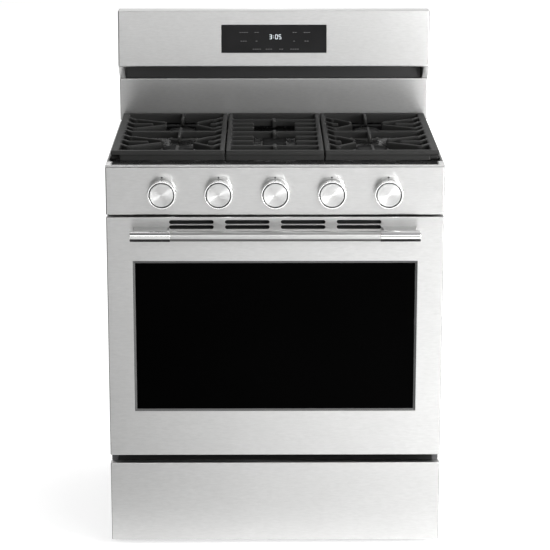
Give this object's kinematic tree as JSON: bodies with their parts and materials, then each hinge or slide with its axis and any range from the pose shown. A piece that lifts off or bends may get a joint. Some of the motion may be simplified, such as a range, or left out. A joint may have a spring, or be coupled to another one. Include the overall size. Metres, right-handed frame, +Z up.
{
  "type": "freestanding gas range",
  "caption": "Freestanding gas range with a drop-down oven door, storage drawer, continuous cast grates, front knobs and a rear backguard console.",
  "frame": {"origin": "on the floor, under the middle of the object's box", "axes": "+Z up; -Y is the front, where the door, drawer and knobs are; +X is on the right of a person who stands in front"},
  "size_m": [0.758, 0.692, 1.18],
  "materials": {
    "brushed_steel": "fine brushed along the width, satin",
    "polished_steel": "polished ends with a satin bar between them",
    "spun_metal": "spun face with a polished rim",
    "rack_wire": "bright plated wire",
    "galvanised_steel": "plain galvanised sheet and bar, dull",
    "side_paint": "satin dark grey paint",
    "cast_iron": "matt black enamel with a cast texture",
    "black_enamel": "semi-gloss black enamel",
    "oven_enamel": "speckled dark blue-black enamel",
    "black_glass": "black gloss, opaque from outside",
    "cast_aluminium": "bare cast",
    "brass": "machined",
    "gasket_braid": "woven glass fibre braid",
    "foot_plastic": "moulded, matt black"
  },
  "bodies": {
    "range_body": {"base_frame": "galvanised_steel", "side_panel_left": "side_paint", "side_panel_right": "side_paint", "rear_panel": "galvanised_steel", "front_frame": "galvanised_steel", "oven_liner": "oven_enamel", "oven_floor_plate": "oven_enamel", "bake_burner": "galvanised_steel", "broil_burner": "galvanised_steel", "cooktop_panel": "brushed_steel", "burner_base_front_left": "cast_aluminium", "burner_base_rear_left": "cast_aluminium", "burner_base_center": "cast_aluminium", "burner_base_rear_right": "cast_aluminium", "burner_base_front_right": "cast_aluminium", "burner_cap_front_left": "black_enamel", "burner_cap_rear_left": "black_enamel", "burner_cap_center": "black_enamel", "burner_cap_rear_right": "black_enamel", "burner_cap_front_right": "black_enamel", "gas_manifold": "galvanised_steel", "gas_regulator": "brass", "control_panel": "brushed_steel", "backguard_panel": "brushed_steel", "backguard_console": "brushed_steel", "display_glass": "black_glass", "backguard_rear_cover": "galvanised_steel", "door_gasket": "gasket_braid", "drawer_rail_left": "galvanised_steel", "drawer_rail_right": "galvanised_steel"},
    "oven_door": {"door_outer_panel": "brushed_steel", "door_window_glass": "black_glass", "door_inner_panel": "oven_enamel", "door_inner_glass": "black_glass", "handle_bar": "polished_steel", "handle_mount_left": "polished_steel", "handle_mount_right": "polished_steel", "door_hinge_left": "galvanised_steel", "door_hinge_right": "galvanised_steel"},
    "storage_drawer": {"drawer_front": "brushed_steel", "drawer_box": "side_paint"},
    "left_grate": {"grate_left": "cast_iron"},
    "middle_grate": {"grate_center": "cast_iron"},
    "right_grate": {"grate_right": "cast_iron"},
    "lower_rack": {"oven_rack_lower": "rack_wire"},
    "upper_rack": {"oven_rack_upper": "rack_wire"},
    "front_left_stem": {"valve_stem_front_left": "galvanised_steel"},
    "front_left_knob": {"knob_front_left": "spun_metal"},
    "rear_left_stem": {"valve_stem_rear_left": "galvanised_steel"},
    "rear_left_knob": {"knob_rear_left": "spun_metal"},
    "center_stem": {"valve_stem_center": "galvanised_steel"},
    "center_knob": {"knob_center": "spun_metal"},
    "rear_right_stem": {"valve_stem_rear_right": "galvanised_steel"},
    "rear_right_knob": {"knob_rear_right": "spun_metal"},
    "front_right_stem": {"valve_stem_front_right": "galvanised_steel"},
    "front_right_knob": {"knob_front_right": "spun_metal"},
    "front_left_foot": {"foot_front_left": "foot_plastic"},
    "front_right_foot": {"foot_front_right": "foot_plastic"},
    "rear_left_foot": {"foot_rear_left": "foot_plastic"},
    "rear_right_foot": {"foot_rear_right": "foot_plastic"}
  },
  "joints": [
    {"name": "door_hinge", "type": "hinge", "parent": "range_body", "child": "oven_door", "pos_m": [0, -0.2575, 0.245], "axis": [1, 0, 0], "range_deg": [0, 90], "stiffness_Nm_per_rad": 18, "springref_deg": -17.19},
    {"name": "drawer_slide", "type": "slide", "parent": "range_body", "child": "storage_drawer", "axis": [0, -1, 0], "range_m": [0, 0.4]},
    {"name": "left_grate_lift", "type": "slide", "parent": "range_body", "child": "left_grate", "axis": [0, 0, 1], "range_m": [0, 0.08]},
    {"name": "middle_grate_lift", "type": "slide", "parent": "range_body", "child": "middle_grate", "axis": [0, 0, 1], "range_m": [0, 0.08]},
    {"name": "right_grate_lift", "type": "slide", "parent": "range_body", "child": "right_grate", "axis": [0, 0, 1], "range_m": [0, 0.08]},
    {"name": "lower_rack_slide", "type": "slide", "parent": "range_body", "child": "lower_rack", "axis": [0, -1, 0], "range_m": [0, 0.06]},
    {"name": "upper_rack_slide", "type": "slide", "parent": "range_body", "child": "upper_rack", "axis": [0, -1, 0], "range_m": [0, 0.06]},
    {"name": "front_left_knob_turn", "type": "hinge", "parent": "range_body", "child": "front_left_stem", "pos_m": [-0.253, -0.2835, 0.8406], "axis": [0, -1, 0], "range_deg": [0, 220]},
    {"name": "front_left_knob_push", "type": "slide", "parent": "front_left_stem", "child": "front_left_knob", "axis": [0, 1, 0], "range_m": [0, 0.004], "stiffness_N_per_m": 800},
    {"name": "rear_left_knob_turn", "type": "hinge", "parent": "range_body", "child": "rear_left_stem", "pos_m": [-0.1265, -0.2835, 0.8406], "axis": [0, -1, 0], "range_deg": [0, 220]},
    {"name": "rear_left_knob_push", "type": "slide", "parent": "rear_left_stem", "child": "rear_left_knob", "axis": [0, 1, 0], "range_m": [0, 0.004], "stiffness_N_per_m": 800},
    {"name": "center_knob_turn", "type": "hinge", "parent": "range_body", "child": "center_stem", "pos_m": [0, -0.2835, 0.8406], "axis": [0, -1, 0], "range_deg": [0, 220]},
    {"name": "center_knob_push", "type": "slide", "parent": "center_stem", "child": "center_knob", "axis": [0, 1, 0], "range_m": [0, 0.004], "stiffness_N_per_m": 800},
    {"name": "rear_right_knob_turn", "type": "hinge", "parent": "range_body", "child": "rear_right_stem", "pos_m": [0.1265, -0.2835, 0.8406], "axis": [0, -1, 0], "range_deg": [0, 220]},
    {"name": "rear_right_knob_push", "type": "slide", "parent": "rear_right_stem", "child": "rear_right_knob", "axis": [0, 1, 0], "range_m": [0, 0.004], "stiffness_N_per_m": 800},
    {"name": "front_right_knob_turn", "type": "hinge", "parent": "range_body", "child": "front_right_stem", "pos_m": [0.253, -0.2835, 0.8406], "axis": [0, -1, 0], "range_deg": [0, 220]},
    {"name": "front_right_knob_push", "type": "slide", "parent": "front_right_stem", "child": "front_right_knob", "axis": [0, 1, 0], "range_m": [0, 0.004], "stiffness_N_per_m": 800},
    {"name": "front_left_foot_turn", "type": "hinge", "parent": "range_body", "child": "front_left_foot", "pos_m": [-0.361, -0.2155, 0], "axis": [0, 0, 1], "continuous": true},
    {"name": "front_right_foot_turn", "type": "hinge", "parent": "range_body", "child": "front_right_foot", "pos_m": [0.361, -0.2155, 0], "axis": [0, 0, 1], "continuous": true},
    {"name": "rear_left_foot_turn", "type": "hinge", "parent": "range_body", "child": "rear_left_foot", "pos_m": [-0.361, 0.3265, 0], "axis": [0, 0, 1], "continuous": true},
    {"name": "rear_right_foot_turn", "type": "hinge", "parent": "range_body", "child": "rear_right_foot", "pos_m": [0.361, 0.3265, 0], "axis": [0, 0, 1], "continuous": true}
  ]
}
